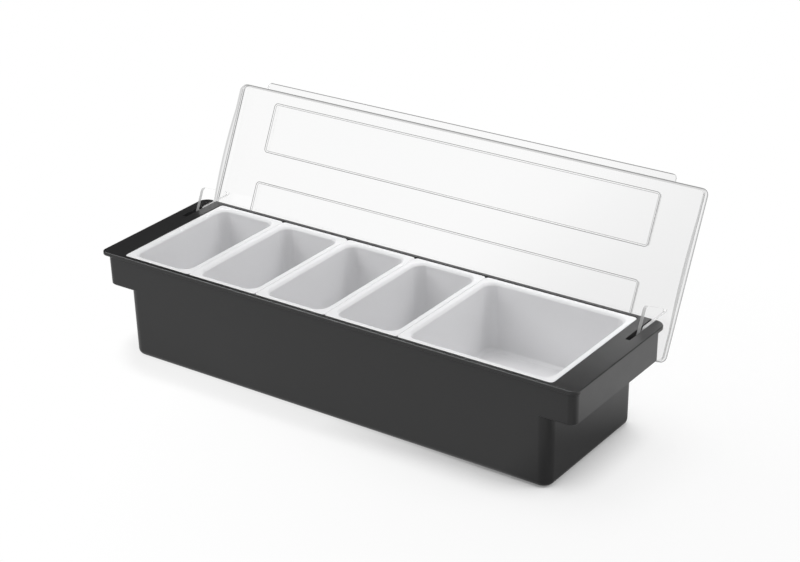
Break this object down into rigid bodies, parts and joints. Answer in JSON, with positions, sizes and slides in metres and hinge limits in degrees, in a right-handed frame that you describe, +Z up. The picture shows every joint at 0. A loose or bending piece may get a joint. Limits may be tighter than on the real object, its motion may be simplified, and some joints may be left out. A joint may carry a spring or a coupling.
{
  "type": "bar garnish tray",
  "caption": "Long lidded garnish tray: a deep housing with hollow end wings, lift-out inserts in its rim and a clear lid that swings back on two arms.",
  "frame": {"origin": "middle of the housing's flat bottom face", "axes": "+X along the tray towards the double-width insert, +Y from the front to the hinge side, +Z up; the lid stands open at rest"},
  "size_m": [0.5, 0.2163, 0.2022],
  "materials": {
    "charcoal_plastic": "satin, finely textured ABS",
    "white_plastic": "satin polypropylene",
    "clear_plastic": "clear polished polycarbonate"
  },
  "bodies": {
    "housing": {"base_housing": "charcoal_plastic"},
    "lid": {"lid": "clear_plastic"},
    "small_insert_1": {"small_insert_1": "white_plastic"},
    "small_insert_2": {"small_insert_2": "white_plastic"},
    "small_insert_3": {"small_insert_3": "white_plastic"},
    "small_insert_4": {"small_insert_4": "white_plastic"},
    "large_insert": {"large_insert": "white_plastic"}
  },
  "joints": [
    {"name": "lid_hinge", "type": "hinge", "parent": "housing", "child": "lid", "pos_m": [0, 0.0602, 0.084], "axis": [-1, 0, 0], "range_deg": [-116.2, 0]},
    {"name": "small_insert_1_lift", "type": "slide", "parent": "housing", "child": "small_insert_1", "axis": [0, 0, 1], "range_m": [0, 0.075]},
    {"name": "small_insert_2_lift", "type": "slide", "parent": "housing", "child": "small_insert_2", "axis": [0, 0, 1], "range_m": [0, 0.075]},
    {"name": "small_insert_3_lift", "type": "slide", "parent": "housing", "child": "small_insert_3", "axis": [0, 0, 1], "range_m": [0, 0.075]},
    {"name": "small_insert_4_lift", "type": "slide", "parent": "housing", "child": "small_insert_4", "axis": [0, 0, 1], "range_m": [0, 0.075]},
    {"name": "large_insert_lift", "type": "slide", "parent": "housing", "child": "large_insert", "axis": [0, 0, 1], "range_m": [0, 0.075]}
  ]
}
